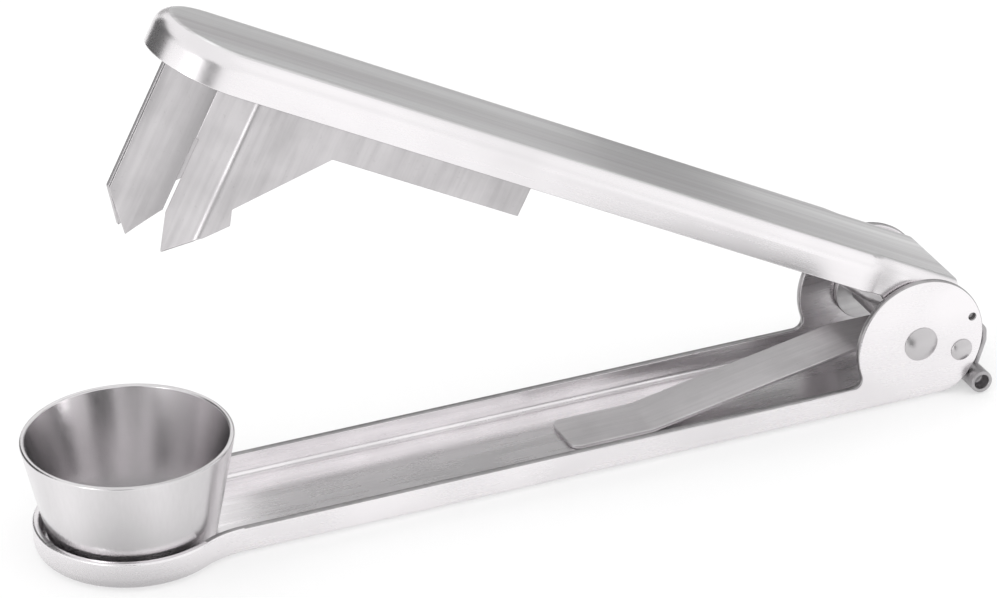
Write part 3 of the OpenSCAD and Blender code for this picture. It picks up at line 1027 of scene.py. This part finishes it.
class PITTER_OT_punch(bpy.types.Operator):
    """Bend the two toothed punch blades"""
    bl_idname = "pitter.punch"
    bl_label = "Punch blades"

    def execute(self, context):
        sizes = context.scene.pitter_sizes
        look = finishes(context)
        for where, side in (("near", -1), ("far", 1)):
            sheet = self.blade(side)
            piece = sheet.object("punch_" + where, (VALLEY.x, 0, 0), ARM_PLACE)
            coat(piece, look["blade"], look["blade"])
            thicken(piece, BLADE_T, 0, sizes.edge / 2, PLAIN_RIM)
            hand_in(piece, "upper", "punch_" + where + "_blade")
        return {"FINISHED"}

    def blade(self, side):
        """Columns from the hollow prow over the valley and the crease, then the web with its tab."""
        start = Vector((PROW_X, BLADE_T / 2))
        shares = [step / PROW_STEPS for step in range(PROW_STEPS)]
        prow = [start.lerp(VALLEY, share) - Vector((0, PROW_HOLLOW * share ** 2 * (1 - share)))
                for share in shares]
        valley = rounded([prow[-1], VALLEY, CREASE], VALLEY_BEND)[1:-1]
        crease = rounded([VALLEY, CREASE, Vector((TAB_END, CREASE.y))], CREASE_BEND)[1:-1]
        plan = [tuple(point) for point in prow + valley + crease]
        left, right = (round(VALLEY.x + half, PLACES) for half in (-SLIT_HALF, SLIT_HALF))
        prow_edge = [(PROW_X, ROOT_Z), (VALLEY.x - PROW_TOOTH, TIP_Z), (left, ROOT_Z)]
        wing_edge = [(right, ROOT_Z), (VALLEY.x + WING_TOOTH, TIP_Z), (CREASE.x, CREASE_Z),
                     tuple(WEB_CORNER)]

        def column(x, *heights):
            return [(x, side * along(plan, x), z) for z in heights]

        sheet = Sheet()
        stops = sorted({round(x, PLACES) for x, _ in plan + prow_edge + wing_edge[:2]})
        for first, second in zip(stops, stops[1:]):
            sheet.strip(column(first, BLADE_TOP, SLIT_TOP), column(second, BLADE_TOP, SLIT_TOP))
            edge = prow_edge if second <= left else wing_edge
            if second <= left or first >= right:
                sheet.strip(column(first, SLIT_TOP, along(edge, first)),
                            column(second, SLIT_TOP, along(edge, second)))
        last = stops[-1]
        web = [tuple(WEB_CORNER), tuple(WEB_STEP), (SLANT_X, TAB_Z), (TAB_END, TAB_Z),
               (TAB_END, BLADE_TOP)]
        sheet.face(column(last, BLADE_TOP, SLIT_TOP, along(wing_edge, last)) + at_side(web, side * CREASE.y))
        return sheet


class PITTER_OT_spring(bpy.types.Operator):
    """Bend the hairpin leaf spring"""
    bl_idname = "pitter.spring"
    bl_label = "Return spring"

    def execute(self, context):
        sizes = context.scene.pitter_sizes
        look = finishes(context)
        path = self.path(sizes.leaf_bend)
        halves = self.widths(path, sizes.leaf_corner)
        sheet = Sheet()
        sheet.strip([(PIVOT.x + x, -half, PIVOT.z + z) for (x, z), half in zip(path, halves)],
                    [(PIVOT.x + x, half, PIVOT.z + z) for (x, z), half in zip(path, halves)])
        piece = sheet.object("spring_leaf", PIVOT)
        coat(piece, look["spring"], look["spring"])
        thicken(piece, LEAF_T, 0, sizes.edge / 2, PLAIN_RIM)
        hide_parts("return_spring")
        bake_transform(piece)
        return {"FINISHED"}

    def path(self, bend):
        """Middle line from the lower leaf's front, round the loop, to the upper leaf's front."""
        low = rounded([(-LEAF_L, FLOOR_MID), (-LEAF_KINK, FLOOR_MID), (-LEAF_NECK, -LOOP_R),
                       (0, -LOOP_R)], bend)
        high = rounded([(0, LOOP_R), (-LEAF_NECK, LOOP_R), (-LEAF_KINK, ROOF_MID),
                        (-LEAF_L, ROOF_MID)], bend)
        cos, sin = math.cos(OPEN_ANGLE), math.sin(OPEN_ANGLE)
        raised = [(x * cos + z * sin, z * cos - x * sin) for x, z in high]
        loop = arc((0, 0), LOOP_R, -90, 90 - math.degrees(OPEN_ANGLE), ROUND_STEPS * 4)
        line = [tuple(point) for point in low[:-1]] + loop + raised[1:]
        return self.ends(line)

    def ends(self, line):
        """Extra points at both ends, for the rounded corners."""
        steps = ROUND_STEPS * 2
        first, second = Vector(line[0]), Vector(line[1])
        last, before = Vector(line[-1]), Vector(line[-2])
        front = [tuple(first + (second - first) * END_SHARE * step / steps) for step in range(steps + 1)]
        back = [tuple(last + (before - last) * END_SHARE * step / steps) for step in range(steps + 1)]
        return front + line[1:-1] + back[::-1]

    def widths(self, path, corner):
        """Half widths along the leaf, less at the rounded ends."""
        lengths = [0]
        for (x0, z0), (x1, z1) in zip(path, path[1:]):
            lengths.append(lengths[-1] + math.hypot(x1 - x0, z1 - z0))
        halves = []
        for length in lengths:
            short = max(0, corner - min(length, lengths[-1] - length))
            halves.append(LEAF_HALF - corner + math.sqrt(corner ** 2 - short ** 2))
        return halves


class PITTER_OT_rivets(bpy.types.Operator):
    """Turn the two rivets and the bush"""
    bl_idname = "pitter.rivets"
    bl_label = "Rivets and bush"

    def execute(self, context):
        sizes = context.scene.pitter_sizes
        look = finishes(context)
        for node, shank in (("pivot_rivet", PIVOT_SHANK_R), ("stop_rivet", STOP_SHANK_R)):
            low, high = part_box(node)
            profile = self.rivet(shank, (high.x - low.x) / 2, (high.y - low.y) / 2, sizes)
            piece = turned(node + "_turned", profile, look["rivet"], False, across((low + high) / 2))
            # The heads' upright sides get a painted shade: the darker cut finish
            self.ring(piece, look["cut"])
            hand_in(piece, "lower", node)
        sleeve = [(PIVOT_SHANK_R, -BUSH_HALF), (BUSH_R, -BUSH_HALF), (BUSH_R, BUSH_HALF),
                  (PIVOT_SHANK_R, BUSH_HALF)]
        bush = turned("pivot_bush_turned", sleeve, look["dark"], True, across(PIVOT))
        hand_in(bush, "lower", "pivot_bush")
        return {"FINISHED"}

    def ring(self, piece, material):
        """Gives the narrow upright side of each head the darker cut finish, a painted shade for the dark
        line round the head.
        """
        coat(piece, material)
        for face in piece.data.polygons:
            if abs(face.center.y) > ARM_HALF and abs(face.normal.y) < HEAD_SIDE:
                face.material_index = 1

    def rivet(self, shank, head, half, sizes):
        """Profile of a rivet with a domed head at each end."""
        dome = half - ARM_HALF
        rim = sizes.rivet_rim
        crown = dome - rim
        ball = (head ** 2 + crown ** 2) / (2 * crown)
        spread = math.degrees(math.asin(head / ball))
        top = arc((0, half - ball), ball, 90, 90 - spread, ROUND_STEPS * 2)
        edge = rounded([top[-2], top[-1], (head, ARM_HALF), (shank, ARM_HALF)], rim / 2, EDGE_STEPS)
        upper = top[:-2] + [tuple(point) for point in edge[:-1]] + [(shank, ARM_HALF)]
        lower = [(radius, -height) for radius, height in reversed(upper)]
        return upper + lower


class PITTER_OT_bail(bpy.types.Operator):
    """Bend the bail wire and turn its bar"""
    bl_idname = "pitter.bail"
    bl_label = "Hanging bail"

    def execute(self, context):
        sizes = context.scene.pitter_sizes
        look = finishes(context)
        tree = bpy.data.node_groups.get("swept_wire") or wire_tree()
        pin_x = BAIL_PIN.x - PIVOT.x
        pin_z = BAIL_PIN.z - PIVOT.z
        bar_x = BAR_MIDDLE.x - PIVOT.x
        bar_z = BAR_MIDDLE.z - PIVOT.z
        for where, side in (("near", -1), ("far", 1)):
            corners = [(pin_x, side * (ARM_HALF - PIN_RECESS), pin_z), (pin_x, side * LEG_Y, pin_z),
                       (LEG_BULGE, side * LEG_Y, LEG_KNEE), (LEG_BULGE, side * LEG_Y, LEG_BEND),
                       (bar_x, side * LEG_Y, bar_z)]
            path = [point + PIVOT for point in rounded(corners, sizes.wire_bend)]
            piece = grow("bail_wire_" + where, tree, path, False,
                         Radius=WIRE_R, Steps=WIRE_STEPS, Material=look["dark"])
            soften(piece)
            hand_in(piece, "bail", "bail_leg_" + where)
        half = (BAR_HIGH.y - BAR_LOW.y) / 2
        end = rounded([(0, half - BAR_HOLLOW_D), (BAR_HOLLOW_R, half - BAR_HOLLOW_D), (BAR_HOLLOW_R, half),
                       (BAR_R, half), (BAR_R, 0)], sizes.edge, EDGE_STEPS)
        upper = [tuple(point) for point in end[:-1]]
        profile = upper + [(radius, -height) for radius, height in reversed(upper)]
        bar = turned("bail_bar_turned", profile, look["dark"], False, across(BAR_MIDDLE))
        hand_in(bar, "bail", "bail_bar")
        return {"FINISHED"}


def seen_rays(graph):
    """1 for what the camera sees straight, in the metal or through glass, and 0 for light."""
    rays = graph.node("ShaderNodeLightPath")
    seen = Term(graph, rays.outputs["Is Camera Ray"]) + Term(graph, rays.outputs["Is Glossy Ray"])
    return seen + Term(graph, rays.outputs["Is Transmission Ray"])


class PITTER_OT_stage(bpy.types.Operator):
    """Set the floor, the soft light and the photograph's camera"""
    bl_idname = "pitter.stage"
    bl_label = "Studio"

    def execute(self, context):
        stage = context.scene.pitter_stage
        context.scene.view_settings.view_transform = "Standard"
        self.world(context, stage.light)
        self.floor(tuple(stage.floor))
        for name, (place, size, power) in LAMPS.items():
            self.lamp(name, place, size, getattr(stage, power))
        for name, (place, size, colour, target, fade) in CARDS.items():
            self.card(name, place, size, tuple(getattr(stage, colour)), target, fade)
        self.camera(context)
        return {"FINISHED"}

    def world(self, context, strength):
        """White to the camera and in the metal, with a strength of its own as light."""
        world = bpy.data.worlds.new("studio_white")
        graph = Graph(blank(world))
        light = graph.node("ShaderNodeBackground", None, {"Color": WHITE, "Strength": strength})
        white = graph.node("ShaderNodeBackground", None, {"Color": WHITE, "Strength": 1.0})
        either = graph.node("ShaderNodeMixShader", None,
                            {0: seen_rays(graph), 1: light.outputs[0], 2: white.outputs[0]})
        graph.node("ShaderNodeOutputWorld", None, {"Surface": either.outputs[0]})
        context.scene.world = world

    def floor(self, colour):
        """A wide round floor that is pale as light and partly plain white where it is seen."""
        work = bmesh.new()
        bmesh.ops.create_circle(work, cap_ends=True, segments=FLOOR_STEPS, radius=FLOOR_R)
        mesh = bpy.data.meshes.new("studio_floor")
        work.to_mesh(mesh)
        work.free()
        plane = linked("studio_floor", mesh)
        material = bpy.data.materials.new("pale_floor")
        graph = Graph(blank(material))
        matt = graph.node("ShaderNodeBsdfDiffuse", None, {"Color": (*colour, 1)})
        white = graph.node("ShaderNodeEmission", None, {"Color": WHITE, "Strength": 1.0})
        either = graph.node("ShaderNodeMixShader", None,
                            {0: seen_rays(graph) * FLOOR_WHITE, 1: matt.outputs[0], 2: white.outputs[0]})
        graph.node("ShaderNodeOutputMaterial", None, {"Surface": either.outputs[0]})
        mesh.materials.append(material)

    def card(self, name, place, size, colour, target, fade):
        """A card that only the shine of the metal shows, facing a place; it can fade out from its middle."""
        wide, high = size[0] / 2, size[1] / 2
        mesh = bpy.data.meshes.new(name)
        mesh.from_pydata([(-wide, -high, 0), (wide, -high, 0), (wide, high, 0), (-wide, high, 0)], [],
                         [(0, 1, 2, 3)])
        mesh.transform(Matrix.Translation(place) @ self.facing(place, target))
        card = linked(name, mesh)
        card.visible_camera = False
        card.visible_diffuse = False
        card.visible_shadow = False
        material = bpy.data.materials.new(name)
        graph = Graph(blank(material))
        surface = graph.node("ShaderNodeEmission", None, {"Color": (*colour, 1), "Strength": 1.0})
        if fade:
            here = graph.node("ShaderNodeTexCoord").outputs["Object"]
            clear = graph.node("ShaderNodeBsdfTransparent")
            share = graph.fading(here, place, fade)
            surface = graph.node("ShaderNodeMixShader", None,
                                 {0: share, 1: surface.outputs[0], 2: clear.outputs[0]})
        graph.node("ShaderNodeOutputMaterial", None, {"Surface": surface.outputs[0]})
        mesh.materials.append(material)

    def facing(self, place, target=ORIGIN):
        """The turn that points minus Z from one place to another."""
        way = Vector(target) - Vector(place)
        return way.to_track_quat("-Z", "Y").to_matrix().to_4x4()

    def lamp(self, name, place, size, power):
        """A large lamp that looks at the tool."""
        data = bpy.data.lights.new(name, "AREA")
        data.shape = "RECTANGLE"
        data.size, data.size_y = size
        data.energy = power
        lamp = bpy.data.objects.new(name, data)
        lamp.matrix_world = Matrix.Translation(place) @ self.facing(place)
        bpy.context.scene.collection.objects.link(lamp)

    def camera(self, context):
        """A camera whose picture puts the pivot on its pixel, from the photograph's angle."""
        cos_az, sin_az = math.cos(VIEW_AZIMUTH), math.sin(VIEW_AZIMUTH)
        cos_el, sin_el = math.cos(VIEW_ELEVATION), math.sin(VIEW_ELEVATION)
        right = Vector((cos_az, sin_az, 0))
        back = Vector((sin_az * cos_el, -cos_az * cos_el, sin_el))
        up = back.cross(right)
        cos_roll, sin_roll = math.cos(VIEW_ROLL), math.sin(VIEW_ROLL)
        right, up = right * cos_roll + up * sin_roll, up * cos_roll - right * sin_roll
        scale = VIEW_DISTANCE / FOCAL_PX
        place = PIVOT + back * VIEW_DISTANCE
        place -= right * (PIVOT_PX[0] - IMAGE_W / 2) * scale
        place -= up * (IMAGE_H / 2 - PIVOT_PX[1]) * scale
        data = bpy.data.cameras.new("photo_camera")
        data.sensor_width = SENSOR_MM
        data.lens = FOCAL_PX * SENSOR_MM / IMAGE_W
        data.clip_start = CLIP_START
        camera = bpy.data.objects.new("photo_camera", data)
        axes = Matrix((right, up, back)).transposed()
        camera.matrix_world = Matrix.Translation(place) @ axes.to_4x4()
        context.scene.collection.objects.link(camera)
        context.scene.camera = camera


OPERATORS = (
    PITTER_OT_stage,
    PITTER_OT_lower_arm,
    PITTER_OT_cup,
    PITTER_OT_upper_arm,
    PITTER_OT_punch,
    PITTER_OT_spring,
    PITTER_OT_rivets,
    PITTER_OT_bail,
)
GROUPS = {"pitter_sizes": PitterSizes, "pitter_finish": PitterFinish, "pitter_stage": PitterStage}


class PITTER_PT_sidebar(bpy.types.Panel):
    """The pitter's pieces and values"""
    bl_idname = "PITTER_PT_sidebar"
    bl_label = "Cherry pitter"
    bl_space_type = "VIEW_3D"
    bl_region_type = "UI"
    bl_category = "Pitter"

    def draw(self, context):
        for operator in OPERATORS:
            self.layout.operator(operator.bl_idname)
        for name in GROUPS:
            group = getattr(context.scene, name)
            box = self.layout.box()
            for key in group.__annotations__:
                box.prop(group, key)


def register():
    """Registers the classes and hangs the values on the scene."""
    for cls in (*GROUPS.values(), *OPERATORS, PITTER_PT_sidebar):
        bpy.utils.register_class(cls)
    for name, group in GROUPS.items():
        setattr(bpy.types.Scene, name, bpy.props.PointerProperty(type=group))


def unregister():
    """Takes the values and the classes away again."""
    for name in GROUPS:
        delattr(bpy.types.Scene, name)
    for cls in (PITTER_PT_sidebar, *reversed(OPERATORS), *reversed(tuple(GROUPS.values()))):
        bpy.utils.unregister_class(cls)


def main():
    """Builds everything."""
    register()
    for operator in OPERATORS:
        name = operator.bl_idname.split(".")[1]
        getattr(bpy.ops.pitter, name)()


if __name__ == "__main__":
    main()
